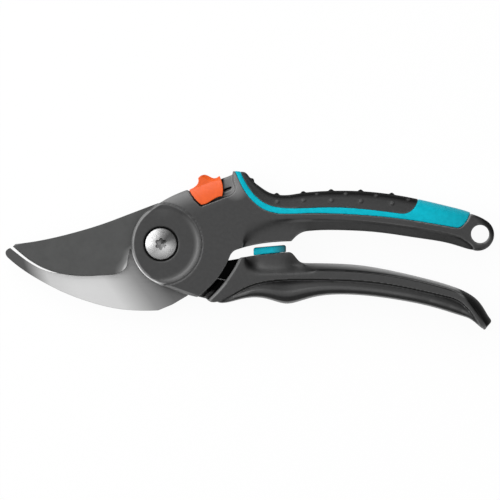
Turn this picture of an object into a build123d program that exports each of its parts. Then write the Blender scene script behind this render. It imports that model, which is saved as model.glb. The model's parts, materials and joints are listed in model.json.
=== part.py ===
from build123d import *
import math
import os

# Pruning shears of the bypass kind, lying flat on their back.
# Millimetres. The pivot axis is the Z axis, the blades point to -X, the handles to +X,
# the resting plane is z = 0 and the screw head looks up.

# Thickness of the handles and the blades
HALF_THICKNESS = 10.0
BLADE_THICKNESS = 3.2
BLADE_GAP = 0.1
PLATE_GAP = 0.15
BLADE_HUB_RADIUS = 12.9

# Fits
RUN_CLEARANCE = 0.05
SEAT_CLEARANCE = 0.03
MOVING_CLEARANCE = 0.3
CUTTER_EXCESS = 1.0

# Hub plate and its dish
HUB_ARC_CENTRE_X = 5.6
HUB_ARC_RADIUS = 18.7
DISH_RADIUS = 17.7
DISH_SLOPE = 2.2
DISH_DEPTH = 0.9
DISH_GROOVE_WIDTH = 0.8
DISH_GROOVE_DEPTH = 0.5
REAR_PLATE_INSET = 0.4
SWEEP_RADIUS = 18.6
SWEEP_MARGIN = 0.8
ROOF_START_X = 4.0
ARM_CLEAR_Y = -1.8
ARM_STEP_RADIUS = 29.8

# Pivot bolt, its bush and its washers
BOLT_SHANK_RADIUS = 4.0
BOLT_HEAD_RADIUS = 6.9
BOLT_HEAD_HEIGHT = 2.8
BOLT_HEAD_CROWN = 0.9
HEAD_RING_GAP = 0.65
COUNTERBORE_DEPTH = 2.4
SOCKET_RADIUS = 2.6
SOCKET_DEPTH = 2.0
BUSH_WALL = 1.5
WASHER_THICKNESS = 0.6
WEAR_WASHER_THICKNESS = 0.5
WEAR_WASHER_WIDTH = 2.4
NUT_ACROSS_FLATS = 13.0
NUT_HEIGHT = 2.8
NUT_RECESS = 0.55
NUT_POCKET_GAP = 0.5
BOLT_END_PROUD = 0.2

# Opening spring under the counter blade
SPRING_WIRE_RADIUS = 0.6
SPRING_RADIUS = 10.3
SPRING_PITCH = 1.75
SPRING_TURNS = 2
SPRING_BEND_RADIUS = 1.5
SPRING_LEG_LENGTH = 7.0
SPRING_POCKET_GAP = 0.35
SPRING_FLOOR_GAP = 0.2

# Blade tangs and their dowel pins
TANG_PIN_RADIUS = 1.8
TANG_PIN_LENGTH = 10.0
TANG_PIN_PITCH = 12.0
TANG_PIN_INSET = 6.0
COUNTER_TANG_LENGTH = 48.0
CUTTING_TANG_LENGTH = 58.0
CUTTING_BEVEL_WIDTH = 1.6
CUTTING_EDGE_LAND = 1.0

# Upper grip skin
GRIP_SKIN = 2.2
GRIP_INSET = 0.1
GRIP_BASE_SINK = 1.0
GRIP_BASE_DEPTH = 3.0
ARCH_STEPS = 8
ARCH_SQUARENESS = 0.86
WEB_INSET = 1.8
WEB_RIDGE_INSET = 0.15
SHOULDER_INSET = 1.4

# Hanging hole
HANG_HOLE_RADIUS = 4.0
HANG_HOLE_FORWARD = 4.4
HANG_HOLE_DROP = 9.0
HANG_RING_RADIUS = 7.2
HANG_RING_BACKSET = 1.0
RING_TAPER = 3.0
RING_TAPER_LENGTH = 28.4

# Lower handle
BAND_INSET = 0.4
ARCH_INSET = 0.5
ARCH_SINK = 0.7
ROLL_INSET = 0.1
ROLL_SLOPE = 34.0
ROLL_CREST_SHARE = 0.3
ROLL_CREST_ASIDE = 0.28
ROLL_EDGE_SHARE = 0.86
POST_INSET = 2.8

# Closing buffer
BUFFER_HALF_WIDTH = 5.2
BUFFER_EDGE = 0.9
BUFFER_STEM_LENGTH = 8.0
BUFFER_STEM_WIDTH = 5.0
BUFFER_STEM_DEPTH = 4.0

# Thumb lock
LOCK_ANGLE = 21.0
LOCK_TRAVEL = 4.5
LOCK_FLANGE = 2.0
LOCK_SIDE_CLEARANCE = 0.15
LOCK_FACE_INSET = 0.1
LOCK_CHANNEL_GAP = 0.05
LOCK_RAIL_BACK = 16.5
LOCK_RAIL_AHEAD = 4.6
LOCK_PIN_INSET = 0.9
LOCK_PIN_RADIUS = 0.8
LOCK_SLOT_CLEARANCE = 0.2
LOCK_GUIDE_START = 7.4
LOCK_GUIDE_END = 10.8
LOCK_GUIDE_LOW = -0.7
LOCK_GUIDE_HIGH = 0.4
LOCK_GUIDE_DEPTH = 1.5
LOCK_PIN_X = 20.6
LOCK_PIN_Y = 20.9
TONGUE_THICKNESS = 2.4
TONGUE_HEIGHT = 3.0
TONGUE_REACH = 10.6
TONGUE_TAIL = 2.6
DETENT_THICKNESS = 0.4
DETENT_LENGTH = 7.0
DETENT_RISE = 0.9

# Levels worked out from the sizes above
MID = HALF_THICKNESS
FRONT_FACE = 2 * HALF_THICKNESS
CUT_BOTTOM = MID + BLADE_GAP / 2
CUT_TOP = CUT_BOTTOM + BLADE_THICKNESS
COUNTER_TOP = MID - BLADE_GAP / 2
COUNTER_BOTTOM = COUNTER_TOP - BLADE_THICKNESS
FRONT_PLATE_BOTTOM = CUT_TOP + PLATE_GAP
REAR_PLATE_TOP = COUNTER_BOTTOM - PLATE_GAP
DISH_FLOOR = FRONT_FACE - DISH_DEPTH
COUNTERBORE_FLOOR = DISH_FLOOR - COUNTERBORE_DEPTH
GRIP_HALF_WIDTH = HALF_THICKNESS - GRIP_INSET
BUSH_RADIUS = BOLT_SHANK_RADIUS + BUSH_WALL
NUT_POCKET_DEPTH = NUT_RECESS + NUT_HEIGHT + WASHER_THICKNESS + RUN_CLEARANCE
WEAR_WASHER_RADIUS = BUSH_RADIUS + WEAR_WASHER_WIDTH
LOCK_POCKET = LOCK_FLANGE + LOCK_SIDE_CLEARANCE
SLIDE_X = math.cos(math.radians(LOCK_ANGLE))
SLIDE_Y = math.sin(math.radians(LOCK_ANGLE))

# Outlines in the plan view
HUB_TOP = (-0.5, 18.1)
HUB_BOTTOM = (-2.1, -17.1)
HUB_CORNER = (15.9, -23.4)
HUB_ARC_END = (30.5, -4.9)
RIDGE_START = (36.2, -1.5)
RIDGE_END = (137.2, -1.4)
STRIPE_TOP = (32.5, 32.0)
STRIPE_END = (130.2, 7.1)
PANEL_END = (136.0, 13.4)
COLLAR_CORNER = (31.7, 32.2)
COLLAR_FOOT = (31.2, 30.4)
HANG_HOLE_X = PANEL_END[0] + HANG_HOLE_FORWARD
HANG_HOLE_Y = PANEL_END[1] - HANG_HOLE_DROP


def slab(face, low, high):
    """A flat outline raised from one level to another."""
    return extrude(Pos(0, 0, low) * face, amount=high - low)


def disc(radius, low, high, x=0.0, y=0.0):
    """A plain round solid between two levels."""
    return slab(Pos(x, y) * Circle(radius), low, high)


def ring(outer, inner, low, high):
    """A washer shape about the pivot."""
    return disc(outer, low, high) - disc(inner, low - CUTTER_EXCESS, high + CUTTER_EXCESS)


def through(face):
    """A cutter that runs past both faces of the handles."""
    return slab(face, -CUTTER_EXCESS, FRONT_FACE + CUTTER_EXCESS)


def hole(radius, x=0.0, y=0.0):
    """A round cutter that runs past both faces of the handles."""
    return through(Pos(x, y) * Circle(radius))


def between(start, end, share):
    """A point part of the way from one plan point to another."""
    return (start[0] + (end[0] - start[0]) * share, start[1] + (end[1] - start[1]) * share)


def section_plane(start, end, origin):
    """A plane across a handle, standing on the plan, with its first direction from start to end."""
    length = math.dist(start, end)
    along = ((end[0] - start[0]) / length, (end[1] - start[1]) / length)
    return Plane(origin=(origin[0], origin[1], MID), x_dir=(along[0], along[1], 0),
                 z_dir=(along[1], -along[0], 0))


def lock_point(along, across):
    """A point in the lock's own directions, from the lock pin's centre."""
    return (LOCK_PIN_X + along * SLIDE_X - across * SLIDE_Y,
            LOCK_PIN_Y + along * SLIDE_Y + across * SLIDE_X)


def lock_bar(start, end, low, high):
    """A rectangle in the lock's directions."""
    return make_face(Polyline(lock_point(start, low), lock_point(end, low),
                              lock_point(end, high), lock_point(start, high), close=True))


def stripe_line():
    """The line where the coloured inlay meets the nylon body, from the collar to the far end."""
    return Spline(STRIPE_TOP, (34.5, 27.6), (36.6, 23.6), (39.1, 20.2), (45.0, 15.4), (51.0, 13.5),
                  (61.2, 13.4), (80.3, 13.2), (103.8, 11.3), (122.3, 8.5), STRIPE_END)


def panel_line():
    """The rounded far end of the inlay."""
    return Spline(STRIPE_END, (133.3, 8.6), PANEL_END, tangents=((1, 0.1), (0.35, 1)))


def ridge_line():
    """The crease between the flat band and the finger web of the upper handle."""
    return Spline(RIDGE_START, (38.0, 3.4), (44.4, 7.5), (56.8, 10.3), (72.5, 10.9), (96.1, 9.3),
                  (118.4, 6.2), (132.1, 2.4), RIDGE_END)


def upper_outline():
    """The flat face of the upper handle, from the hub to the hanging ring."""
    left = ThreePointArc(HUB_TOP, (HUB_ARC_CENTRE_X - HUB_ARC_RADIUS, 0), HUB_BOTTOM)
    below = Spline(HUB_BOTTOM, (1.6, -18.9), (11.8, -22.4), HUB_CORNER)
    inner = ThreePointArc(HUB_CORNER, (24.9, -15.1), HUB_ARC_END)
    foot = Spline(HUB_ARC_END, (31.9, -3.2), (34.2, -2.0), RIDGE_START)
    ridge = ridge_line()
    ring_low = (HANG_HOLE_X - 2.8, HANG_HOLE_Y - HANG_RING_RADIUS)
    ring_end = (HANG_HOLE_X - HANG_RING_BACKSET + HANG_RING_RADIUS, HANG_HOLE_Y)
    ring_high = (HANG_HOLE_X + 2.6, HANG_HOLE_Y + 6.0)
    ring_start = Line(RIDGE_END, ring_low)
    ring_arc = ThreePointArc(ring_low, ring_end, ring_high)
    ring_top = Spline(ring_high, (HANG_HOLE_X - 0.1, HANG_HOLE_Y + 7.5), PANEL_END)
    collar = Polyline(STRIPE_TOP, COLLAR_CORNER, COLLAR_FOOT)
    top = Spline(COLLAR_FOOT, (27.2, 28.9), (11.9, 24.0), HUB_TOP)
    return make_face([left, below, inner, foot, ridge, ring_start, ring_arc, ring_top,
                      panel_line(), stripe_line(), collar, top])


def arch_face(base, top, half_width, depth):
    """A section of the palm grip, arched from side to side over a flat base."""
    rise = math.dist(base, top)
    arch = []
    for i in range(ARCH_STEPS + 1):
        lean = math.radians(90 - 180 * i / ARCH_STEPS)
        side = math.copysign(abs(math.sin(lean)) ** ARCH_SQUARENESS, math.sin(lean))
        arch.append((rise * max(math.cos(lean), 0.0) ** ARCH_SQUARENESS, half_width * side))
    crown = Spline(*arch, tangents=((1, 0), (-1, 0)))
    sides = Polyline(arch[-1], (-depth, -half_width), (-depth, half_width), arch[0])
    return section_plane(base, top, base) * make_face([crown, sides])


GRIP_LINE = [
    ((32.3, 32.2), (36.4, 31.7)), ((33.8, 29.1), (38.8, 29.7)), ((35.7, 25.4), (41.3, 27.0)),
    ((38.3, 21.3), (44.2, 24.8)), ((41.8, 17.6), (47.2, 22.9)), ((46.2, 14.9), (50.2, 21.9)),
    ((52.6, 13.5), (54.6, 21.5)), ((61.2, 13.4), (61.6, 22.4)), ((74.0, 13.3), (74.4, 23.4)),
    ((88.0, 12.8), (88.8, 23.2)), ((101.0, 11.6), (102.6, 21.7)), ((113.0, 9.9), (115.2, 19.3)),
    ((125.0, 7.8), (127.4, 16.4)), ((135.5, 5.0), (138.2, 13.0))]
GRIP_TAPER = [0, 0, 0, 0, 0, 0, 0, 0, 0, 0, 0.1, 0.4, 1.0, 1.8]
GRIP_STATIONS = [(between(base, top, -GRIP_BASE_SINK / math.dist(base, top)), top) for base, top in GRIP_LINE]


def grip_form(skin, first):
    """The rounded palm form, drawn in by a skin, from one of its stations on."""
    sections = []
    for (base, top), taper in list(zip(GRIP_STATIONS, GRIP_TAPER))[first:]:
        crown = between(base, top, 1 - skin / math.dist(base, top))
        sections.append(arch_face(base, crown, GRIP_HALF_WIDTH - taper - skin, GRIP_BASE_DEPTH))
    return loft(sections)


def grip_core():
    """The nylon core of the palm form, which starts behind the collar."""
    return grip_form(GRIP_SKIN, 3)


def inlay_region():
    """Plan area above the stripe line, with room to spare outside the grip."""
    out = Polyline(PANEL_END, (138.0, 24.0), (60.0, 40.0), (30.0, 40.0), STRIPE_TOP)
    return make_face([stripe_line(), panel_line(), out])


def pad_region():
    """Plan area of the soft palm pad."""
    edge = Spline((34.9, 32.0), (36.4, 28.6), (41.6, 21.1), (47.1, 17.3), (53.4, 15.9), (68.6, 16.0),
                  (80.3, 16.0), (103.8, 13.6), (108.6, 13.7), (111.8, 16.4), (113.1, 20.6))
    out = Polyline((113.1, 20.6), (113.5, 40.0), (34.9, 40.0), (34.9, 32.0))
    return make_face([edge, out])


def web_form():
    """The finger web under the ridge, which leans in towards the gap between the handles."""
    stations = [(58.0, 11.0, 5.4), (66.0, 11.4, 5.8), (78.0, 11.4, 6.1), (90.0, 10.7, 5.6),
                (102.0, 9.3, 4.3), (114.0, 7.6, 2.5), (125.0, 5.4, 0.7), (133.0, 3.0, -1.6),
                (137.4, 0.8, -2.6)]
    sections = []
    for x, ridge, low in stations:
        past = max(x - HANG_HOLE_X + RING_TAPER_LENGTH, 0)
        taper = RING_TAPER * past / RING_TAPER_LENGTH
        wide = HALF_THICKNESS - WEB_RIDGE_INSET - taper
        narrow = HALF_THICKNESS - WEB_INSET - taper
        outline = Polyline((narrow, low), (wide, ridge), (-wide, ridge), (-narrow, low), close=True)
        plane = Plane(origin=(x, 0, MID), x_dir=(0, 0, 1), z_dir=(-1, 0, 0))
        sections.append(plane * make_face(outline))
    return loft(sections)


def shoulder_form():
    """The deeper block of the upper handle that the buffer comes up against."""
    edge = Spline((33.0, -2.6), (37.5, -1.2), (48.5, 0.7), (57.4, 1.2))
    rise = Spline((57.4, 1.2), (59.1, 3.1), (61.1, 4.6), (64.0, 5.6))
    rest = Polyline((64.0, 5.6), (64.0, 10.0), (46.0, 10.0), (36.0, 6.0), (33.0, -2.6))
    return slab(make_face([edge, rise, rest]), SHOULDER_INSET, FRONT_FACE - SHOULDER_INSET)


def lock_recess():
    """Plan area of the recess that the thumb slider runs in."""
    edge = Polyline((11.4, 36.0), (11.6, 24.2), (14.6, 19.2), (17.4, 16.4), (29.0, 20.85))
    stop = Spline((29.0, 20.85), (31.7, 22.2), (32.7, 23.8), (32.5, 25.6), (31.9, 30.0))
    out = Polyline((31.9, 30.0), (31.9, 36.0), (11.4, 36.0))
    return make_face([edge, stop, out])


def rail_region(rise):
    """Plan area above the rail that the slider rides on."""
    foot = (27.2, 28.9 + rise)
    near = (foot[0] - LOCK_RAIL_BACK * SLIDE_X, foot[1] - LOCK_RAIL_BACK * SLIDE_Y)
    far = (foot[0] + LOCK_RAIL_AHEAD * SLIDE_X, foot[1] + LOCK_RAIL_AHEAD * SLIDE_Y)
    return make_face(Polyline(near, far, (far[0], 45.0), (near[0], 45.0), close=True))


def counter_tang_face(margin):
    """Plan area of the counter blade's tang, with a margin all round."""
    end = COUNTER_TANG_LENGTH + margin
    return make_face(Polyline((6.0, -2.0 - margin), (18.0, 1.6 - margin), (end, 3.6 - margin),
                              (end, 12.4 + margin), (18.0, 12.4 + margin), (6.0, 10.0 + margin),
                              close=True))


def cutting_tang_face(margin):
    """Plan area of the cutting blade's tang, with a margin all round."""
    end = CUTTING_TANG_LENGTH + margin
    return make_face(Polyline((4.0, -3.0 + margin), (30.0, -7.6 + margin), (end, -9.4 + margin),
                              (end, -15.4 - margin), (30.0, -16.4 - margin), (4.0, -11.6 - margin),
                              close=True))


def tang_pins(tang_length, height):
    """Centres of the two dowels through a tang."""
    last = tang_length - TANG_PIN_INSET
    return [(last - TANG_PIN_PITCH, height), (last, height)]


COUNTER_PINS = tang_pins(COUNTER_TANG_LENGTH, 7.8)
CUTTING_PINS = tang_pins(CUTTING_TANG_LENGTH, -12.9)


def dowel(place, low, high, margin):
    """A dowel across the middle of a blade's layer, with a margin all round."""
    half = TANG_PIN_LENGTH / 2 + margin
    middle = (low + high) / 2
    return disc(TANG_PIN_RADIUS + margin, middle - half, middle + half, *place)


def upper_handle():
    """Glass-filled nylon upper handle with the front hub plate and the hanging ring."""
    body = slab(upper_outline(), 0, FRONT_FACE)
    # The hub of the other handle and both blades turn under the front plate
    body -= disc(SWEEP_RADIUS, -CUTTER_EXCESS, FRONT_PLATE_BOTTOM)
    below = Polyline((-40, -50), (31.0, -50), (31.0, ARM_CLEAR_Y), (ROOF_START_X, ARM_CLEAR_Y),
                     (ROOF_START_X, 40), (-40, 40), close=True)
    body -= slab(make_face(below), -CUTTER_EXCESS, FRONT_PLATE_BOTTOM)
    body += web_form() + shoulder_form()
    body += grip_core()
    # Taper of the ring end, the same on both faces
    start = HANG_HOLE_X - RING_TAPER_LENGTH
    far = HANG_HOLE_X + RING_TAPER_LENGTH
    for face, drop in ((0, 2 * RING_TAPER), (FRONT_FACE, -2 * RING_TAPER)):
        wedge = Polyline((start, face), (far, face), (far, face + drop), close=True)
        body -= extrude(Plane.XZ * make_face(wedge), amount=60, both=True)
    body -= hole(HANG_HOLE_RADIUS, HANG_HOLE_X, HANG_HOLE_Y)
    # Dish round the screw, with its groove
    dish = Cone(DISH_RADIUS - DISH_SLOPE, DISH_RADIUS, DISH_DEPTH,
                align=(Align.CENTER, Align.CENTER, Align.MIN))
    body -= Pos(0, 0, DISH_FLOOR) * dish
    body -= ring(DISH_RADIUS + DISH_GROOVE_WIDTH, DISH_RADIUS, FRONT_FACE - DISH_GROOVE_DEPTH,
                 FRONT_FACE + CUTTER_EXCESS)
    body -= disc(BOLT_HEAD_RADIUS + HEAD_RING_GAP, COUNTERBORE_FLOOR, FRONT_FACE + CUTTER_EXCESS)
    body -= hole(BUSH_RADIUS + SEAT_CLEARANCE)
    body -= disc(WEAR_WASHER_RADIUS + SEAT_CLEARANCE, 0, FRONT_PLATE_BOTTOM + WEAR_WASHER_THICKNESS)
    # Recess, rail, slot and tongue way of the thumb lock
    recess = lock_recess()
    body -= slab(recess, FRONT_FACE - LOCK_POCKET, FRONT_FACE + CUTTER_EXCESS)
    body -= slab(recess, -CUTTER_EXCESS, LOCK_POCKET)
    body -= through(rail_region(0))
    guide = lock_bar(LOCK_GUIDE_START, LOCK_GUIDE_END, LOCK_GUIDE_LOW, LOCK_GUIDE_HIGH)
    sunk = LOCK_POCKET + LOCK_GUIDE_DEPTH
    body -= slab(guide, FRONT_FACE - sunk, FRONT_FACE + CUTTER_EXCESS)
    body -= slab(guide, -CUTTER_EXCESS, sunk)
    half_slot = LOCK_PIN_RADIUS + LOCK_SLOT_CLEARANCE
    body -= through(lock_bar(-half_slot, LOCK_TRAVEL + half_slot, -half_slot, half_slot))
    low, high = tongue_levels()
    tall = TONGUE_HEIGHT / 2 + LOCK_SLOT_CLEARANCE
    way = lock_bar(-30, TONGUE_TAIL + LOCK_TRAVEL + MOVING_CLEARANCE, -tall, tall)
    body -= slab(way, low - LOCK_SLOT_CLEARANCE, high + LOCK_SLOT_CLEARANCE)
    nest = lock_bar(-TONGUE_REACH, -TONGUE_REACH + DETENT_LENGTH + 2 * MOVING_CLEARANCE,
                    -tall - DETENT_RISE - DETENT_THICKNESS - MOVING_CLEARANCE, 0)
    body -= slab(nest, low, high)
    # Slot of the counter blade's tang and its dowel holes
    body -= slab(counter_tang_face(SEAT_CLEARANCE), COUNTER_BOTTOM - SEAT_CLEARANCE,
                 COUNTER_TOP + SEAT_CLEARANCE)
    for place in COUNTER_PINS:
        body -= dowel(place, COUNTER_BOTTOM, COUNTER_TOP, SEAT_CLEARANCE)
    return body


def grip_inlay():
    """Coloured moulded inlay: the stripe round the palm pad and the panel at its end."""
    form = grip_form(0, 0) & through(inlay_region())
    form -= through(pad_region())
    return form - grip_core()


def grip_pad():
    """Soft black palm pad."""
    form = grip_form(0, 0) & through(pad_region())
    return form - grip_core()


def tongue_levels():
    """Lower and upper level of the lock tongue, in the cutting blade's layer."""
    middle = (CUT_BOTTOM + CUT_TOP) / 2
    return middle - TONGUE_THICKNESS / 2, middle + TONGUE_THICKNESS / 2


def cutting_blade():
    """Coated cutting blade, ground on its front face along the curved edge."""
    back = Spline((-64.1, 0.0), (-52.3, 1.7), (-37.2, 5.3), (-26.0, 8.7), (-14.7, 12.9), (-1.2, 18.0))
    inner = Polyline((-1.2, 18.0), (0.4, 12.0), (-12.0, -2.0), (-13.7, -1.8))
    edge = Spline((-13.7, -1.8), (-14.7, -5.3), (-15.6, -9.8), (-18.7, -12.4), (-26.0, -13.8),
                  (-31.5, -14.1), (-39.4, -13.8), (-45.6, -12.6), (-52.3, -9.8), (-59.6, -5.3),
                  (-65.2, -1.1))
    tip = Line((-65.2, -1.1), (-64.1, 0.0))
    plate = slab(make_face([back, inner, edge, tip]), CUT_BOTTOM, CUT_TOP)
    front = plate.faces().sort_by(Axis.Z)[-1]
    sharp = front.edges().sort_by(Axis.Y)[0]
    plate = chamfer(sharp, BLADE_THICKNESS - CUTTING_EDGE_LAND, CUTTING_BEVEL_WIDTH)
    plate += disc(BLADE_HUB_RADIUS, CUT_BOTTOM, CUT_TOP)
    plate += slab(cutting_tang_face(0), CUT_BOTTOM, CUT_TOP)
    plate -= hole(BUSH_RADIUS + RUN_CLEARANCE)
    for place in CUTTING_PINS:
        plate -= hole(TANG_PIN_RADIUS + SEAT_CLEARANCE, *place)
    return plate


def counter_blade():
    """Bright hooked counter blade that holds the branch."""
    tip = Spline((-66.4, -1.7), (-68.4, -3.6), (-67.5, -5.9))
    outer = Spline((-67.5, -5.9), (-59.6, -12.1), (-52.3, -16.5), (-42.8, -21.3), (-31.5, -25.5),
                   (-20.3, -28.3), (-11.9, -29.2), (-1.2, -29.2))
    heel = Polyline((-1.2, -29.2), (4.9, -26.7), (11.7, -22.7), (14.0, -16.0), (12.0, -4.0), (-12.0, 1.0))
    inner = Spline((-12.0, 1.0), (-15.6, -3.6), (-24.0, -10.2), (-32.0, -12.3), (-40.0, -12.9),
                   (-48.4, -12.4), (-54.0, -10.4), (-60.7, -6.2), (-66.4, -1.7))
    plate = slab(make_face([tip, outer, heel, inner]), COUNTER_BOTTOM, COUNTER_TOP)
    plate += disc(BLADE_HUB_RADIUS, COUNTER_BOTTOM, COUNTER_TOP)
    plate += slab(counter_tang_face(0), COUNTER_BOTTOM, COUNTER_TOP)
    plate -= hole(BUSH_RADIUS + SEAT_CLEARANCE)
    plate -= hole(SPRING_WIRE_RADIUS + MOVING_CLEARANCE, SPRING_RADIUS, SPRING_BEND_RADIUS)
    for place in COUNTER_PINS:
        plate -= hole(TANG_PIN_RADIUS + SEAT_CLEARANCE, *place)
    return plate


def counter_blade_pins():
    """Steel dowels of the counter blade, two solids of one group."""
    return Compound(children=[dowel(place, COUNTER_BOTTOM, COUNTER_TOP, 0) for place in COUNTER_PINS])


def cutting_blade_pins():
    """Steel dowels of the cutting blade, two solids of one group."""
    return Compound(children=[dowel(place, CUT_BOTTOM, CUT_TOP, 0) for place in CUTTING_PINS])


def rear_plate_face():
    """Plan area of the lower handle's hub plate and of the arm that joins it to the handle."""
    hub = Pos(HUB_ARC_CENTRE_X, 0) * Circle(HUB_ARC_RADIUS - REAR_PLATE_INSET)
    turn = Circle(SWEEP_RADIUS - SWEEP_MARGIN)
    arm_top = Polyline((-2.1, -16.0), (8.0, -3.0), (17.0, -4.0), (29.6, -7.2), (34.6, -6.4), (37.0, -12.0),
                       (37.0, -20.0))
    arm_low = Polyline((37.0, -20.0), (24.0, -25.1), (15.9, -23.0), (11.8, -22.0), (1.6, -18.4),
                       (-2.1, -16.0))
    return (hub & turn) + make_face([arm_top, arm_low])


def lower_block_face():
    """Plan area of the flat band and of the broad front of the lower handle."""
    step = ThreePointArc((20.4, -24.6), (29.3, -14.8), (34.0, -7.0))
    peak = Spline((34.0, -7.0), (35.2, -5.9), (37.4, -6.8))
    crease = Spline((37.4, -6.8), (39.2, -9.7), (42.7, -12.0), (52.0, -12.3), (74.0, -11.7), (90.2, -12.7),
                    (107.8, -15.2), (122.8, -18.7), (131.9, -22.2), (138.6, -29.0), (143.2, -37.0))
    end = Line((143.2, -37.0), (140.4, -36.0))
    lower = Spline((140.4, -36.0), (135.5, -28.9), (131.9, -25.5), (122.8, -22.4), (105.9, -18.7),
                   (84.3, -16.0), (62.7, -15.5), (48.0, -16.2), (37.6, -19.0), (28.1, -24.1), (24.0, -25.6))
    front = Spline((24.0, -25.6), (21.6, -25.4), (20.4, -24.6))
    return make_face([step, peak, crease, end, lower, front])


def lower_arch():
    """The rounded inner side of the lower handle, above its crease."""
    stations = [((43.0, -12.0), (43.3, -8.6)), ((52.0, -12.3), (52.0, -8.3)), ((62.0, -12.0), (62.0, -8.3)),
                ((74.0, -11.7), (74.0, -8.5)), ((86.0, -12.3), (86.4, -9.2)),
                ((98.0, -13.6), (98.6, -11.1)), ((108.0, -15.2), (108.8, -13.3)),
                ((118.4, -17.5), (119.3, -15.9)), ((127.3, -20.3), (128.3, -18.6)),
                ((132.6, -22.6), (134.4, -21.2)), ((136.4, -25.6), (139.2, -24.6)),
                ((139.2, -29.6), (142.4, -28.9)), ((141.4, -33.4), (144.4, -32.2)),
                ((143.0, -37.0), (145.2, -34.5))]
    half = HALF_THICKNESS - ARCH_INSET
    sections = []
    for base, top in stations:
        crown = ThreePointArc((-ARCH_SINK, half), (math.dist(base, top), 0), (-ARCH_SINK, -half))
        sides = Polyline((-ARCH_SINK, -half), (-2 * ARCH_SINK, -half), (-2 * ARCH_SINK, half),
                         (-ARCH_SINK, half))
        sections.append(section_plane(base, top, base) * make_face([crown, sides]))
    return loft(sections)


def roll_face(half, crest):
    """A section of the finger roll: a rounded crest on each face, nearer the outside, and even slopes."""
    fall = math.tan(math.radians(ROLL_SLOPE))
    near = ROLL_CREST_SHARE * half
    edge = ROLL_EDGE_SHARE * half
    aside = ROLL_CREST_ASIDE * half
    inside = near - aside
    outside = -near - aside
    brow = crest - near * fall / 2
    top_level = brow - (half - inside) * fall
    edge_level = brow - (edge + outside) * fall
    front = ThreePointArc((inside, brow), (-aside, crest), (outside, brow))
    outer = ThreePointArc((-edge, edge_level), (-half, 0), (-edge, -edge_level))
    back = ThreePointArc((outside, -brow), (-aside, -crest), (inside, -brow))
    inner = Polyline((inside, -brow), (half, -top_level), (half, top_level), (inside, brow))
    front_slope = Line((outside, brow), (-edge, edge_level))
    back_slope = Line((-edge, -edge_level), (outside, -brow))
    return make_face([front, front_slope, outer, back_slope, back, inner])


def finger_roll():
    """The rounded roll on the outside of the lower handle, which the fingers close round."""
    stations = [((25.6, -24.5), (25.2, -25.8), 1.5), ((28.4, -23.0), (27.6, -25.95), 1.1),
                ((32.6, -20.8), (31.2, -25.3), 0.7), ((40.8, -16.8), (40.2, -23.5), 0.2),
                ((48.0, -15.2), (48.0, -24.5), 0),
                ((55.5, -14.8), (55.5, -26.25), 0), ((62.0, -14.5), (62.4, -24.7), 0),
                ((70.0, -14.5), (70.2, -22.8), 0), ((80.0, -14.8), (80.0, -22.2), 0),
                ((94.4, -16.0), (93.8, -23.1), 0), ((107.8, -17.9), (106.6, -25.0), 0),
                ((119.8, -20.5), (117.8, -27.3), 0.3), ((129.0, -23.4), (126.4, -29.8), 0.7),
                ((134.2, -26.0), (131.8, -31.5), 1.1), ((138.4, -30.0), (136.0, -33.0), 1.5),
                ((141.4, -34.0), (139.6, -35.8), 2.1), ((143.4, -36.6), (142.8, -37.5), 2.9)]
    sections = []
    for top, low, taper in stations:
        plane = section_plane(low, top, between(low, top, 0.5))
        sections.append(plane * roll_face(math.dist(top, low) / 2, HALF_THICKNESS - ROLL_INSET - taper))
    return loft(sections)


def buffer_seat():
    """The post on the lower handle that carries the closing buffer."""
    top = Spline((35.2, -6.0), (40.5, -5.1), (48.2, -4.2), (56.6, -3.5))
    fall = Spline((56.6, -3.5), (58.3, -4.6), (59.9, -6.6), (63.2, -8.4))
    rest = Polyline((63.2, -8.4), (64.0, -14.0), (39.5, -14.0), (35.2, -6.0))
    return slab(make_face([top, fall, rest]), POST_INSET, FRONT_FACE - POST_INSET)


def buffer_stem(margin):
    """The plug under the buffer, with a margin all round."""
    near = 48.0 - BUFFER_STEM_LENGTH / 2 - margin
    far = 48.0 + BUFFER_STEM_LENGTH / 2 + margin
    low = -4.2 - BUFFER_STEM_DEPTH - margin
    wide = BUFFER_STEM_WIDTH / 2 + margin
    face = make_face(Polyline((near, -3.0), (far, -3.0), (far, low), (near, low), close=True))
    return slab(face, MID - wide, MID + wide)


def spring_leg_slot():
    """The slot in the hub plate that holds the spring's lower leg."""
    wide = SPRING_WIRE_RADIUS + SPRING_POCKET_GAP
    near = SPRING_RADIUS - wide
    far = SPRING_RADIUS + wide
    end = -SPRING_LEG_LENGTH - wide
    face = make_face(Polyline((near, 0), (far, 0), (far, end), (near, end), close=True))
    return slab(face, spring_floor(), REAR_PLATE_TOP + CUTTER_EXCESS)


def spring_floor():
    """Level of the floor of the spring's pocket."""
    rise = SPRING_TURNS * SPRING_PITCH + 2 * SPRING_WIRE_RADIUS
    return REAR_PLATE_TOP - rise - 2 * SPRING_FLOOR_GAP


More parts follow.
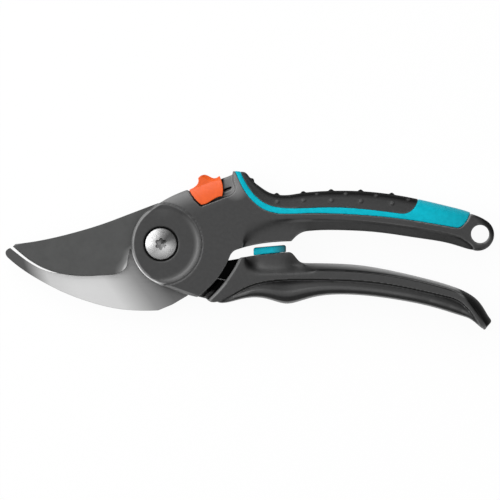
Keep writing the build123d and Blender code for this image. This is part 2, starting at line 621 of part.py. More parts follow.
def lower_handle():
    """Glass-filled nylon lower handle with the rear hub plate."""
    band = slab(lower_block_face(), BAND_INSET, FRONT_FACE - BAND_INSET)
    body = band + lower_arch() + finger_roll() + buffer_seat()
    plate = rear_plate_face()
    body += slab(plate, 0, REAR_PLATE_TOP)
    body += slab(plate, 0, COUNTER_TOP) - hole(ARM_STEP_RADIUS)
    body -= hole(BUSH_RADIUS + RUN_CLEARANCE)
    body -= disc(NUT_ACROSS_FLATS / math.sqrt(3) + NUT_POCKET_GAP, -CUTTER_EXCESS, NUT_POCKET_DEPTH)
    over_plate = REAR_PLATE_TOP + CUTTER_EXCESS
    body -= disc(WEAR_WASHER_RADIUS + SEAT_CLEARANCE, REAR_PLATE_TOP - WEAR_WASHER_THICKNESS, over_plate)
    room = SPRING_WIRE_RADIUS + SPRING_POCKET_GAP
    body -= ring(SPRING_RADIUS + room, SPRING_RADIUS - room, spring_floor(), over_plate)
    body -= spring_leg_slot()
    body -= slab(cutting_tang_face(SEAT_CLEARANCE), CUT_BOTTOM - SEAT_CLEARANCE, CUT_TOP + SEAT_CLEARANCE)
    for place in CUTTING_PINS:
        body -= dowel(place, CUT_BOTTOM, CUT_TOP, SEAT_CLEARANCE)
    body -= buffer_stem(SEAT_CLEARANCE)
    return body


def closing_buffer():
    """Soft bumper that the upper handle closes on."""
    seat = Spline((40.7, -5.0), (48.2, -4.15), (55.0, -3.55))
    over = Polyline((55.0, -3.55), (55.0, -0.35), (40.7, -1.6), (40.7, -5.0))
    block = slab(make_face([seat, over]), MID - BUFFER_HALF_WIDTH, MID + BUFFER_HALF_WIDTH)
    block = fillet(block.edges().filter_by(lambda e: e.center().Y > -2.6), BUFFER_EDGE)
    return block + buffer_stem(0)


def pivot_bolt():
    """Crowned pivot screw with a six-lobe socket."""
    base = COUNTERBORE_FLOOR + WASHER_THICKNESS
    rim = base + BOLT_HEAD_HEIGHT - BOLT_HEAD_CROWN
    top = rim + BOLT_HEAD_CROWN
    side = Polyline((0, top), (0, base), (BOLT_HEAD_RADIUS, base), (BOLT_HEAD_RADIUS, rim))
    shoulder = (BOLT_HEAD_RADIUS * 0.75, rim + BOLT_HEAD_CROWN * 0.62)
    crown = ThreePointArc((BOLT_HEAD_RADIUS, rim), shoulder, (0, top))
    head = revolve(Plane.XZ * make_face([side, crown]), Axis.Z)
    head += disc(BOLT_SHANK_RADIUS, NUT_RECESS - BOLT_END_PROUD, rim)
    lobe_radius = SOCKET_RADIUS * 0.26
    lobe_place = SOCKET_RADIUS - lobe_radius
    socket = Circle(lobe_place)
    for i in range(6):
        turn = math.radians(30 + 60 * i)
        socket += Pos(lobe_place * math.cos(turn), lobe_place * math.sin(turn)) * Circle(lobe_radius)
    return head - slab(socket, top - SOCKET_DEPTH, top + CUTTER_EXCESS)


def pivot_nut():
    """Hexagon nut, sunk in the rear hub plate."""
    hexagon = RegularPolygon(NUT_ACROSS_FLATS / 2, 6, major_radius=False)
    block = slab(hexagon, NUT_RECESS, NUT_RECESS + NUT_HEIGHT)
    return block - hole(BOLT_SHANK_RADIUS + SEAT_CLEARANCE)


def nut_washer():
    """Spring washer under the nut."""
    low = NUT_RECESS + NUT_HEIGHT
    return ring(NUT_ACROSS_FLATS / 2, BOLT_SHANK_RADIUS + SEAT_CLEARANCE, low, low + WASHER_THICKNESS)


def pivot_bush():
    """Steel bush that the blades turn on."""
    low = NUT_RECESS + NUT_HEIGHT + WASHER_THICKNESS
    return ring(BUSH_RADIUS, BOLT_SHANK_RADIUS + SEAT_CLEARANCE, low, COUNTERBORE_FLOOR)


def head_washer():
    """Flat washer under the screw head."""
    return ring(BOLT_HEAD_RADIUS, BOLT_SHANK_RADIUS + SEAT_CLEARANCE, COUNTERBORE_FLOOR,
                COUNTERBORE_FLOOR + WASHER_THICKNESS)


def front_wear_washer():
    """Thin washer between the front hub plate and the cutting blade."""
    return ring(WEAR_WASHER_RADIUS, BUSH_RADIUS + SEAT_CLEARANCE, FRONT_PLATE_BOTTOM - PLATE_GAP / 3,
                FRONT_PLATE_BOTTOM + WEAR_WASHER_THICKNESS)


def rear_wear_washer():
    """Thin washer between the rear hub plate and the counter blade."""
    return ring(WEAR_WASHER_RADIUS, BUSH_RADIUS + RUN_CLEARANCE, REAR_PLATE_TOP - WEAR_WASHER_THICKNESS,
                REAR_PLATE_TOP + PLATE_GAP / 3)


def opening_spring():
    """Torsion spring round the pivot: half turns of wire, a straight leg and a bent leg."""
    radius = SPRING_RADIUS
    low = spring_floor() + SPRING_FLOOR_GAP + SPRING_WIRE_RADIUS
    step = SPRING_PITCH / 2
    swing = math.hypot(radius, step / 2)
    path = [Line((radius, -SPRING_LEG_LENGTH, low), (radius, 0, low))]
    for i in range(2 * SPRING_TURNS):
        side = radius if i % 2 == 0 else -radius
        lean = swing if i % 2 == 0 else -swing
        z = low + i * step
        path.append(ThreePointArc((side, 0, z), (0, lean, z + step / 2), (-side, 0, z + step)))
    top = low + SPRING_TURNS * SPRING_PITCH
    bend = SPRING_BEND_RADIUS
    corner = bend * math.sqrt(0.5)
    path.append(ThreePointArc((radius, 0, top), (radius, corner, top + bend - corner),
                              (radius, bend, top + bend)))
    path.append(Line((radius, bend, top + bend), (radius, bend, COUNTER_TOP - MOVING_CLEARANCE)))
    wire = Wire(path)
    start = Plane(origin=(radius, -SPRING_LEG_LENGTH, low), z_dir=(0, 1, 0))
    print("spring: least gap between turns", round(SPRING_PITCH - 2 * SPRING_WIRE_RADIUS, 2))
    return sweep(start * Circle(SPRING_WIRE_RADIUS), path=wire)


def lock_slider():
    """Thumb slider: a saddle over the rail with a flange on each side."""
    edge = Spline((12.4, 23.9), (15.2, 19.6), (17.7, 17.3))
    low = Spline((17.7, 17.3), (19.2, 17.5), (22.1, 19.0), (26.9, 21.0))
    right = Spline((26.9, 21.0), (27.3, 23.2), (26.4, 28.5), (25.7, 30.1))
    saddle = Spline((25.7, 30.1), (22.4, 29.2), (19.2, 30.5), (17.6, 30.1), (16.3, 28.9))
    left = Spline((16.3, 28.9), (16.2, 26.7), (15.0, 25.3), (12.4, 23.9))
    outline = make_face([edge, low, right, saddle, left])
    form = slab(outline, LOCK_FACE_INSET, FRONT_FACE - LOCK_FACE_INSET)
    inside = LOCK_FLANGE + LOCK_FACE_INSET
    channel = slab(outline, inside - LOCK_CHANNEL_GAP, FRONT_FACE - inside + LOCK_CHANNEL_GAP)
    form -= channel - through(rail_region(MOVING_CLEARANCE))
    seat = LOCK_FACE_INSET + LOCK_PIN_INSET - SEAT_CLEARANCE
    return form - disc(LOCK_PIN_RADIUS + SEAT_CLEARANCE, seat, FRONT_FACE - seat, LOCK_PIN_X, LOCK_PIN_Y)


def lock_tongue():
    """Steel tongue that blocks the cutting blade's hub."""
    low, high = tongue_levels()
    bar = slab(lock_bar(-TONGUE_REACH, TONGUE_TAIL, -TONGUE_HEIGHT / 2, TONGUE_HEIGHT / 2), low, high)
    return bar - hole(LOCK_PIN_RADIUS + SEAT_CLEARANCE, LOCK_PIN_X, LOCK_PIN_Y)


def lock_pin():
    """Cross pin that ties the tongue to both flanges of the slider."""
    inset = LOCK_FACE_INSET + LOCK_PIN_INSET
    return disc(LOCK_PIN_RADIUS, inset, FRONT_FACE - inset, LOCK_PIN_X, LOCK_PIN_Y)


def lock_detent_spring():
    """Bowed leaf that holds the slider at either end of its travel."""
    low, high = tongue_levels()
    base = -TONGUE_HEIGHT / 2 - LOCK_SLOT_CLEARANCE - DETENT_RISE - DETENT_THICKNESS
    start = -TONGUE_REACH + MOVING_CLEARANCE
    end = start + DETENT_LENGTH
    middle = (start + end) / 2
    upper = base + DETENT_THICKNESS
    under = ThreePointArc(lock_point(start, base), lock_point(middle, base + DETENT_RISE),
                          lock_point(end, base))
    over = ThreePointArc(lock_point(end, upper), lock_point(middle, upper + DETENT_RISE),
                         lock_point(start, upper))
    far_end = Line(lock_point(end, base), lock_point(end, upper))
    near_end = Line(lock_point(start, upper), lock_point(start, base))
    return slab(make_face([under, far_end, over, near_end]), low + SEAT_CLEARANCE, high - SEAT_CLEARANCE)


NODES = {
    "upper_handle_body": upper_handle,
    "upper_grip_inlay": grip_inlay,
    "upper_grip_pad": grip_pad,
    "counter_blade": counter_blade,
    "counter_blade_pins": counter_blade_pins,
    "pivot_bolt": pivot_bolt,
    "pivot_bush": pivot_bush,
    "head_washer": head_washer,
    "pivot_nut": pivot_nut,
    "nut_washer": nut_washer,
    "front_wear_washer": front_wear_washer,
    "opening_spring": opening_spring,
    "lock_detent_spring": lock_detent_spring,
    "lock_slider": lock_slider,
    "lock_tongue": lock_tongue,
    "lock_pin": lock_pin,
    "lower_handle_body": lower_handle,
    "cutting_blade": cutting_blade,
    "cutting_blade_pins": cutting_blade_pins,
    "closing_buffer": closing_buffer,
    "rear_wear_washer": rear_wear_washer,
}

os.makedirs("parts", exist_ok=True)
for name, make in NODES.items():
    export_step(make(), f"parts/{name}.step")
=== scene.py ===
import json
import math

import bmesh
import bpy
import numpy as np
from mathutils import Matrix, Vector
from mathutils.bvhtree import BVHTree

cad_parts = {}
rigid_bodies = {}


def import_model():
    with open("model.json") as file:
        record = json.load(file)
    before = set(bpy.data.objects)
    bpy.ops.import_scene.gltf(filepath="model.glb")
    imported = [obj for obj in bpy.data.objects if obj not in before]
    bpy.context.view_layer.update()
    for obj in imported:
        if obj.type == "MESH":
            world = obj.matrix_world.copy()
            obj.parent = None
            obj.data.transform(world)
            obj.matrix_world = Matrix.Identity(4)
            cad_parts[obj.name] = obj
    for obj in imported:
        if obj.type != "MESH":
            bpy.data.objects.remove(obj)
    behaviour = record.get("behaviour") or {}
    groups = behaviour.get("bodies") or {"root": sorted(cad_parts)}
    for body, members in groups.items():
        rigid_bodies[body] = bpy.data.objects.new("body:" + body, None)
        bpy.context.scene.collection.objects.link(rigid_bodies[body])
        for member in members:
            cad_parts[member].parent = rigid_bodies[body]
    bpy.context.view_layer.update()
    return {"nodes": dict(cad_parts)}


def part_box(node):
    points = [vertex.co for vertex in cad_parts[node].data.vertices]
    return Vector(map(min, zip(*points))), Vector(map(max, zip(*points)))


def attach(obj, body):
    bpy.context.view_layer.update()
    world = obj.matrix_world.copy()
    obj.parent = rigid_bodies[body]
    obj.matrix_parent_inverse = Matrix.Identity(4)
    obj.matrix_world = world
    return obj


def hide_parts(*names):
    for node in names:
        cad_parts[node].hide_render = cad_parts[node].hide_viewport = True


for old in list(bpy.data.objects):
    bpy.data.objects.remove(old)
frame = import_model()


# Upper handle. One injection moulding in glass-filled nylon that holds the front hub plate,
# the rail of the thumb lock, the band along the grip and the hanging ring. Dark grey, finely
# grained, with eased edges where the mould halves meet.

handle_cell = 0.0004                        # cell of the skin over either handle, in metres
most_triangles = 185000                     # a skin with more is thinned
blur_rounds = 3
mid_height = 0.010                          # level half way between the two outer faces
core_half, face_depth = 0.004, 0.006        # what keeps its level, and the depth that gives way
rail_x, rail_y = 0.932, 0.362               # the way up the rail, from the hub to the grip
edge_x, edge_y = -0.0005, 0.0181            # where the hub's top edge begins
edge_fall, edge_reach, edge_length = 0.0016, 0.008, 0.034
hub_x, hub_radius = 0.0056, 0.0187          # the hub's outer rim
rim_fall, rim_width = 0.0018, 0.0010
round_end, straight_start = -0.0040, 0.0008  # where the round rim gives way to straight edges
under_x, under_y = 0.330, 0.944             # the way in from the hub's straight lower edge
under_right, under_top, under_spare = 0.016, -0.015, 0.00045
dish_radius, dish_slope, dish_left = 0.0149, 0.0016, 0.002
shoulder_left, shoulder_right, shoulder_top = 0.0360, 0.067, 0.0115
shoulder_step, shoulder_floor = 0.057, 0.0062
ring_x, ring_y, ring_fall = 0.1404, 0.0044, 0.0016          # the hanging ring
ring_inside, ring_outside = 0.0047, 0.0075
ring_start, ring_full = 0.1355, 0.1400
ridge_centre, ridge_reach = (0.07216, -0.2349, 0.0101), 0.24585
face_level = 0.0190                         # the front face
nylon_dark, nylon_light = (0.017, 0.017, 0.0172), (0.022, 0.022, 0.0222)
mould_grain, mould_depth, gloss_patches = 4200, 0.00003, 1500
up_rail, off_rail, rightward = (rail_x, rail_y, 0), (rail_y, -rail_x, 0), (1, 0, 0)


def settle(piece):
    """Turns a piece's modifiers into its mesh."""
    depsgraph = bpy.context.evaluated_depsgraph_get()
    mesh = bpy.data.meshes.new_from_object(piece.evaluated_get(depsgraph))
    piece.modifiers.clear()
    piece.data = mesh


def copied(node):
    """A copy of a solid, with its loose triangles merged."""
    form = bmesh.new()
    form.from_mesh(frame["nodes"][node].data)
    bmesh.ops.remove_doubles(form, verts=form.verts, dist=1e-6)
    return form


def placed(form, name):
    """A piece of the scene with the given shape."""
    mesh = bpy.data.meshes.new(name)
    form.to_mesh(mesh)
    form.free()
    piece = bpy.data.objects.new(name, mesh)
    bpy.context.scene.collection.objects.link(piece)
    return piece


def moulded(node, name, cell, rounds, shaping=None, added=None):
    """A moulded skin over a copy of a solid: one closed surface with eased edges."""
    form = copied(node)
    if added:
        form.from_mesh(added)
    piece = placed(form, name)
    skin = piece.modifiers.new("skin", "REMESH")
    skin.mode = "VOXEL"
    skin.voxel_size = cell
    ease = piece.modifiers.new("ease", "SMOOTH")
    ease.factor = 0.5
    ease.iterations = rounds
    settle(piece)
    if shaping:
        form = bmesh.new()
        form.from_mesh(piece.data)
        shaping(form)
        form.to_mesh(piece.data)
        form.free()
    triangles = 2 * len(piece.data.polygons)
    if triangles > most_triangles:
        thin = piece.modifiers.new("thin", "DECIMATE")
        thin.ratio = most_triangles / triangles
        settle(piece)
    piece.data.materials.clear()
    piece.data.shade_smooth()
    return piece


def mark_relief(piece, cell):
    """Notes on each point how far it stands out from its neighbours, where 0.5 is level."""
    mesh = piece.data
    count = len(mesh.vertices)
    place, outward = np.empty(count * 3), np.empty(count * 3)
    mesh.vertices.foreach_get("co", place)
    mesh.vertices.foreach_get("normal", outward)
    ends = np.empty(len(mesh.edges) * 2, dtype=np.int64)
    mesh.edges.foreach_get("vertices", ends)
    first, second = ends[0::2], ends[1::2]
    links = np.maximum(np.bincount(ends, minlength=count), 1)

    def round_about(values):
        return (np.bincount(first, values[second], count)
                + np.bincount(second, values[first], count)) / links

    relief = sum((place[axis::3] - round_about(place[axis::3])) * outward[axis::3]
                 for axis in range(3)) / cell
    for turn in range(blur_rounds):
        relief = 0.5 * (relief + round_about(relief))
    marks = mesh.attributes.new("relief", "FLOAT", "POINT")
    marks.data.foreach_set("value", (0.5 + relief / math.pi).astype(np.float32))


def share(value, start, end):
    """How far a value is on its way from start to end, from 0 to 1."""
    return min(max((value - start) / (end - start), 0.0), 1.0)


def hub_fall(x, y):
    """How far the faces fall away towards the hub's top edge, which runs up to the collar."""
    onward = rail_x * (x - edge_x) + rail_y * (y - edge_y)
    inward = rail_y * (x - edge_x) - rail_x * (y - edge_y)
    near = share(inward, edge_reach, -0.0005)
    ends = share(onward, -edge_reach, 0.0) * share(onward, edge_length + 0.006, edge_length)
    return edge_fall * near * near * ends


def lower_face(vert, fall):
    """Brings a point of either outer face closer to the middle of the tool."""
    side = vert.co.z - mid_height
    height = abs(side) - core_half
    if height > 0:
        vert.co.z = mid_height + math.copysign(core_half + height * (1 - fall / face_depth), side)


def soften(form, depth_inside, rounds):
    """Melts the hard lines of a surface, most where depth_inside(x, y) is largest."""
    for inset in (0.0, 0.0005, 0.0010, 0.0015, 0.0020):
        verts = [vert for vert in form.verts if depth_inside(vert.co.x, vert.co.y) > inset]
        for turn in range(rounds):
            bmesh.ops.smooth_vert(form, verts=verts, factor=0.5, use_axis_x=True, use_axis_y=True,
                                  use_axis_z=True)


def shape_upper(form):
    """Scoops the shoulder over the buffer, rounds the hub's rim and tilts its top edge."""
    def shoulder(x, y):
        floor = shoulder_floor if x > shoulder_step else 0.0002 + 0.17 * (x - 0.0375)
        return min(x - shoulder_left, shoulder_right - x, y - floor, shoulder_top - y)

    def dish_side(x, y):
        return min(dish_slope - abs(math.hypot(x, y) - dish_radius), x - dish_left)

    soften(form, shoulder, rounds=25)
    soften(form, dish_side, rounds=4)
    for vert in form.verts:
        x, y = vert.co.xy
        straight = rim_width
        if x < under_right and y < under_top:
            straight = under_x * (x + 0.0021) + under_y * (y + 0.0171) + under_spare
        rim = hub_radius - math.hypot(x - hub_x, y)
        rim += (straight - rim) * share(x, round_end, straight_start)
        edge = share(rim, rim_width, 0.0)
        ring = share(math.hypot(x - ring_x, y - ring_y), ring_inside, ring_outside)
        ring *= share(x, ring_start, ring_full)
        lower_face(vert, hub_fall(x, y) + rim_fall * edge * edge + ring_fall * ring * ring)


def new_finish(name):
    """A procedural finish: the material, its node tree and its shader."""
    material = bpy.data.materials.new(name)
    material.use_nodes = True
    return material, material.node_tree, material.node_tree.nodes["Principled BSDF"]


def speckle(tree, scale, detail=4.0, stretch=(1, 1, 1), turn=0.0):
    """Noise fixed to the piece, stretched and turned where the finish has a direction."""
    place = tree.nodes.new("ShaderNodeTexCoord")
    mapping = tree.nodes.new("ShaderNodeMapping")
    mapping.inputs["Scale"].default_value = stretch
    mapping.inputs["Rotation"].default_value = (0, 0, turn)
    noise = tree.nodes.new("ShaderNodeTexNoise")
    noise.inputs["Scale"].default_value = scale
    noise.inputs["Detail"].default_value = detail
    tree.links.new(place.outputs["Object"], mapping.inputs["Vector"])
    tree.links.new(mapping.outputs["Vector"], noise.inputs["Vector"])
    return noise.outputs["Fac"]


def ramp(tree, value, *stops):
    """A colour ramp over a value, from (position, grey or colour) stops."""
    node = tree.nodes.new("ShaderNodeValToRGB")
    bar = node.color_ramp.elements
    while len(bar) < len(stops):
        bar.new(0.5)
    for mark, (where, tint) in zip(bar, stops):
        mark.position = where
        mark.color = (*tint, 1) if isinstance(tint, tuple) else (tint, tint, tint, 1)
    tree.links.new(value, node.inputs["Fac"])
    return node.outputs["Color"]


def mottled(tree, scale, first, second, spread=0.2):
    """A grey or colour that wavers between two over the piece."""
    return ramp(tree, speckle(tree, scale), (0.5 - spread, first), (0.5 + spread, second))


def roughen(tree, shader, height, depth, strength):
    """Fine relief on a finish, in metres of depth."""
    bump = tree.nodes.new("ShaderNodeBump")
    bump.inputs["Distance"].default_value = depth
    bump.inputs["Strength"].default_value = strength
    tree.links.new(height, bump.inputs["Height"])
    tree.links.new(bump.outputs["Normal"], shader.inputs["Normal"])


def grained(tree, shader, smooth, rough, grain, depth, strength, patches=gloss_patches):
    """A moulded or coated surface: a gloss that wavers, over a fine grain."""
    tree.links.new(mottled(tree, patches, smooth, rough), shader.inputs["Roughness"])
    roughen(tree, shader, speckle(tree, grain), depth, strength)


def measured(tree, operation, vector, start, end):
    """A measure of where a point of the piece lies, from 0 at start to 1 at end."""
    place = tree.nodes.new("ShaderNodeTexCoord")
    measure = tree.nodes.new("ShaderNodeVectorMath")
    measure.operation = operation
    measure.inputs[1].default_value = vector
    scale = tree.nodes.new("ShaderNodeMapRange")
    scale.inputs["From Min"].default_value = start
    scale.inputs["From Max"].default_value = end
    tree.links.new(place.outputs["Object"], measure.inputs[0])
    tree.links.new(measure.outputs["Value"], scale.inputs["Value"])
    return scale.outputs["Result"]


def along(tree, direction, start, end):
    """How far along a direction a point of the piece lies."""
    return measured(tree, "DOT_PRODUCT", direction, start, end)


def around(tree, centre, start, end):
    """How far from a centre a point of the piece lies."""
    return measured(tree, "DISTANCE", centre, start, end)


def joined(tree, operation, first, *others):
    """Several shares brought together by an operation."""
    for other in others:
        node = tree.nodes.new("ShaderNodeMath")
        node.operation = operation
        tree.links.new(first, node.inputs[0])
        tree.links.new(other, node.inputs[1])
        first = node.outputs[0]
    return first


def belt(tree, direction, start, full, fading, end):
    """A stripe across a direction, full in its middle."""
    return joined(tree, "MULTIPLY", along(tree, direction, start, full),
                  along(tree, direction, end, fading))


def hoop(tree, centre, start, full, fading, end):
    """A stripe round a centre, full in its middle."""
    return joined(tree, "MULTIPLY", around(tree, centre, start, full),
                  around(tree, centre, end, fading))


def up_to(tree, part, most):
    """A share that stops at the given height."""
    return ramp(tree, part, (0.0, 0.0), (1.0, most))


def tinted(tree, part, colour, tint):
    """A colour that gives way to a grey tint where a share is 1."""
    node = tree.nodes.new("ShaderNodeMix")
    node.data_type = "RGBA"
    node.inputs["B"].default_value = (tint, tint, tint, 1)
    tree.links.new(part, node.inputs["Factor"])
    tree.links.new(colour, node.inputs["A"])
    return node.outputs["Result"]


def layered(tree, tone, *layers):
    """A tone under layers of a share and a grey, the last one on top."""
    for part, grey in layers:
        tone = tinted(tree, part, tone, grey)
    return tone


def dulled(tree, shader, part, plain, dull):
    """A shine that gives way to a duller one where a share is 1."""
    tree.links.new(ramp(tree, part, (0.0, plain), (1.0, dull)),
                   shader.inputs["Specular IOR Level"])


def relief_of(tree):
    """The relief that mark_relief noted on the piece."""
    marks = tree.nodes.new("ShaderNodeAttribute")
    marks.attribute_name = "relief"
    return marks.outputs["Fac"]


def nylon_finish(name, centre, start, end):
    """Dark grained nylon with painted highlights on its edges away from a centre and painted shade
    in its creases.
    """
    material, tree, shader = new_finish(name)
    tone = mottled(tree, 700, nylon_dark, nylon_light, spread=0.15)
    # Painted highlight on the convex edges and painted shade in the creases, both read from the
    # relief.
    edge_highlight = joined(tree, "MULTIPLY", ramp(tree, relief_of(tree), (0.511, 0.0), (0.540, 1.0)),
                  around(tree, centre, start, end))
    crease_shade = ramp(tree, relief_of(tree), (0.44, 1.0), (0.492, 0.0))
    grained(tree, shader, 0.36, 0.44, mould_grain, mould_depth, strength=0.25)
    return material, tree, shader, layered(tree, tone, (edge_highlight, 0.16), (crease_shade, 0.004))


nylon, tree, shader, tone = nylon_finish("grained_nylon", (0, 0, 0.0185), 0.0084, 0.0092)
# Painted highlights: the hub's top edge, the foot of the collar, the lower left of the hub's rim,
# the right slope of the dish and the ridge along the grip are painted lighter.
top_edge_highlight = joined(tree, "MULTIPLY", along(tree, off_rail, -0.0060, -0.0176),
                  around(tree, (0, 0, 0.0195), 0.0176, 0.0186))
top_edge_highlight = ramp(tree, top_edge_highlight, (0.0, 0.0), (0.45, 0.15), (1.0, 1.0))
collar_highlight = around(tree, (0.0330, 0.0245, face_level), 0.0060, 0.0010)
rim_highlight = joined(tree, "MULTIPLY", around(tree, (hub_x, 0, face_level), 0.0180, 0.0184),
                   along(tree, (-0.6, -0.8, 0), 0.0090, 0.0140),
                   along(tree, rightward, 0.0012, -0.0022))
dish_highlight = joined(tree, "MULTIPLY",
                    hoop(tree, (0, 0, face_level), 0.0142, 0.0160, 0.0160, 0.0171),
                    along(tree, (0.94, -0.34, 0), 0.0040, 0.0150))
ridge_highlight = joined(tree, "MULTIPLY",
               hoop(tree, ridge_centre, ridge_reach - 0.0011, ridge_reach - 0.0006,
                    ridge_reach, ridge_reach + 0.0004),
               belt(tree, rightward, 0.052, 0.060, 0.128, 0.134))
# Painted shade: the side of the hanging ring, the guide slot and the gap beside the slider are
# painted near black, with a duller shine.
ring_side_shade = along(tree, (0.80, 0.60, 0), 0.1172, 0.1196)
guide_slot_shade = joined(tree, "MULTIPLY",
                    belt(tree, off_rail, -0.01262, -0.01238, -0.01182, -0.01158),
                    belt(tree, up_rail, 0.0330, 0.0334, 0.0378, 0.0382))
slider_gap_shadow = joined(tree, "MULTIPLY", belt(tree, rightward, 0.0250, 0.0256, 0.0272, 0.0281),
                    along(tree, off_rail, -0.0098, -0.0102))
recess_shade = joined(tree, "MAXIMUM", guide_slot_shade, slider_gap_shadow)
tone = layered(tree, tone, (top_edge_highlight, 0.13), (collar_highlight, 0.16), (rim_highlight, 0.9),
               (dish_highlight, 0.09), (ridge_highlight, 0.05), (ring_side_shade, 0.005), (recess_shade, 0.002))
tree.links.new(tone, shader.inputs["Base Color"])
dulled(tree, shader, joined(tree, "MAXIMUM", recess_shade, up_to(tree, ring_side_shade, 0.8)),
       plain=0.5, dull=0.03)

upper_handle = moulded("upper_handle_body", "upper_handle_moulding", handle_cell, rounds=3,
                       shaping=shape_upper)
mark_relief(upper_handle, handle_cell)
upper_handle.data.materials.append(nylon)
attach(upper_handle, "upper_half")
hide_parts("upper_handle_body")


# Grip inlay. A second moulding in teal plastic that wraps the back of the grip, shows as a
# stripe beside the palm pad and closes the end with a plain panel.

inlay_cell = 0.00032
teal_deep, teal_light = (0.001, 0.37, 0.47), (0.002, 0.42, 0.53)
teal, tree, shader = new_finish("teal_moulding")
tone = mottled(tree, 500, teal_deep, teal_light, spread=0.15)
far_end = up_to(tree, along(tree, (0.75, 0.66, 0), 0.095, 0.106), most=0.18)
tree.links.new(tinted(tree, far_end, tone, 0.01), shader.inputs["Base Color"])
grained(tree, shader, 0.36, 0.46, mould_grain, mould_depth, strength=0.2)
shader.inputs["Specular IOR Level"].default_value = 0.06


def shape_grip(form):
    """Lets the front end of the grip follow the hub's top edge."""
    for vert in form.verts:
        lower_face(vert, hub_fall(vert.co.x, vert.co.y))


inlay = moulded("upper_grip_inlay", "teal_inlay", inlay_cell, rounds=3, shaping=shape_grip)
inlay.data.materials.append(teal)
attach(inlay, "upper_half")
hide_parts("upper_grip_inlay")


# Palm pad. Soft black rubber moulded over the inlay, arched from side to side, with rows of
# low nubs that stop the hand from slipping.

pad_cell = 0.00030
nub_radius, nub_rise = 0.0012, 0.0008
nub_start, nub_pitch, nub_spread = 0.051, 0.0056, 0.00009
far_out = 0.1                               # where the lines that find the pad's surface start
rubber_dark, rubber_light = (0.014, 0.014, 0.0142), (0.021, 0.021, 0.0213)
upward = (0, 0, 1)
rubber, tree, shader = new_finish("palm_rubber")
tone = mottled(tree, 900, rubber_dark, rubber_light)
# Painted shade on the pad's sloping sides, between 4.4 and 15.6 mm high, with a duller shine.
slope_shade = belt(tree, upward, 0.0024, 0.0044, 0.0156, 0.0176)
# Painted highlight on the nubs, read from the relief.
nub_highlight = ramp(tree, relief_of(tree), (0.51, 0.0), (0.56, 1.0))
tree.links.new(layered(tree, tone, (slope_shade, 0.004), (nub_highlight, 0.12)), shader.inputs["Base Color"])
dulled(tree, shader, slope_shade, plain=0.5, dull=0.05)
grained(tree, shader, 0.60, 0.74, grain=5200, depth=0.00005, strength=0.4, patches=1800)


def nubs(node):
    """Low round nubs in rows that sit on a solid's arched surface."""
    form = bmesh.new()
    form.from_mesh(frame["nodes"][node].data)
    surface = BVHTree.FromBMesh(form)
    form.clear()
    for step in range(-2, 10):
        x = nub_start + nub_pitch * step + nub_spread * step * step
        upper_row = 0.02195 - 2.7 * (x - 0.077) ** 2
        lower_row = 0.0192 - 1.6 * (x - 0.072) ** 2
        from_behind = [((x, far_out, mid_height), (0, -1, 0))]
        lines = []
        if step % 2 and 0 < step:
            lines = [((x, upper_row, far_out), (0, 0, -1)), ((x, upper_row, -far_out), (0, 0, 1))]
        elif step % 2 == 0 and 0 <= step < 9:
            lines = [((x, lower_row, far_out), (0, 0, -1)), ((x, lower_row, -far_out), (0, 0, 1))]
            lines += from_behind
        elif step == -2:
            lines = from_behind
        for origin, direction in lines:
            spot, normal = surface.ray_cast(Vector(origin), Vector(direction))[:2]
            if spot:
                centre = spot - normal * (nub_radius - nub_rise)
                bmesh.ops.create_icosphere(form, subdivisions=3, radius=nub_radius,
                                           matrix=Matrix.Translation(centre))
    mesh = bpy.data.meshes.new("pad_nubs")
    form.to_mesh(mesh)
    form.free()
    return mesh


pad = moulded("upper_grip_pad", "palm_pad", pad_cell, rounds=3, shaping=shape_grip,
              added=nubs("upper_grip_pad"))
mark_relief(pad, pad_cell)
pad.data.materials.append(rubber)
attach(pad, "upper_half")
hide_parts("upper_grip_pad")


# Counter blade. Hooked plate of bright ground steel, blanked out and eased along its edges.
# Its tang is dowelled into the upper handle.

flat_angle, sharp_angle, crisp_angle = math.radians(0.6), math.radians(35), math.radians(30)
counter_easing = 0.0002
stroke_turn = math.radians(-62)


def eased_plate(node, name, width, steps, shaping=None):
    """A copy of a machined solid with its sharp edges broken."""
    form = copied(node)
    bmesh.ops.dissolve_limit(form, angle_limit=flat_angle, verts=form.verts, edges=form.edges)
    if shaping:
        shaping(form)
    sharp = [edge for edge in form.edges
             if edge.is_manifold and edge.calc_face_angle(0) > sharp_angle]
    bmesh.ops.bevel(form, geom=sharp, offset=width, offset_type="OFFSET", affect="EDGES",
                    segments=steps, profile=0.5, material=-1, clamp_overlap=True)
    for face in form.faces:
        face.smooth = abs(face.normal.z) < 0.999
    for edge in form.edges:
        edge.smooth = not edge.is_manifold or edge.calc_face_angle(0) < crisp_angle
    return placed(form, name)


steel, tree, shader = new_finish("ground_steel")
shader.inputs["Metallic"].default_value = 1.0
# Painted reflection: the steel's colour is dark at the tip, bright across the middle and darker
# towards the hub.
outward = ramp(tree, along(tree, (0.94, 0.34, 0), -0.070, -0.030),
               (0.0, 0.075), (0.26, 0.085), (0.46, 0.50), (0.72, 0.56))
inward = ramp(tree, along(tree, (0.8, 0.6, 0), -0.040, 0.0),
              (0.0, 0.58), (0.26, 0.54), (0.54, 0.24), (0.75, 0.13))
tree.links.new(joined(tree, "MINIMUM", outward, inward), shader.inputs["Base Color"])
strokes = speckle(tree, 900, detail=3.0, stretch=(0.06, 1, 1), turn=stroke_turn)
tree.links.new(ramp(tree, strokes, (0.3, 0.34), (0.7, 0.46)), shader.inputs["Roughness"])
roughen(tree, shader, strokes, depth=0.00002, strength=0.25)

counter_blade = eased_plate("counter_blade", "counter_blade_plate", counter_easing, steps=2)
counter_blade.data.materials.append(steel)
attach(counter_blade, "upper_half")
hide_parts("counter_blade")


# Dowels, bush, washers, springs and lock tongue. Plain turned, stamped or wound steel inside
# the tool, and two thin plastic washers that keep the blades off the hub plates.

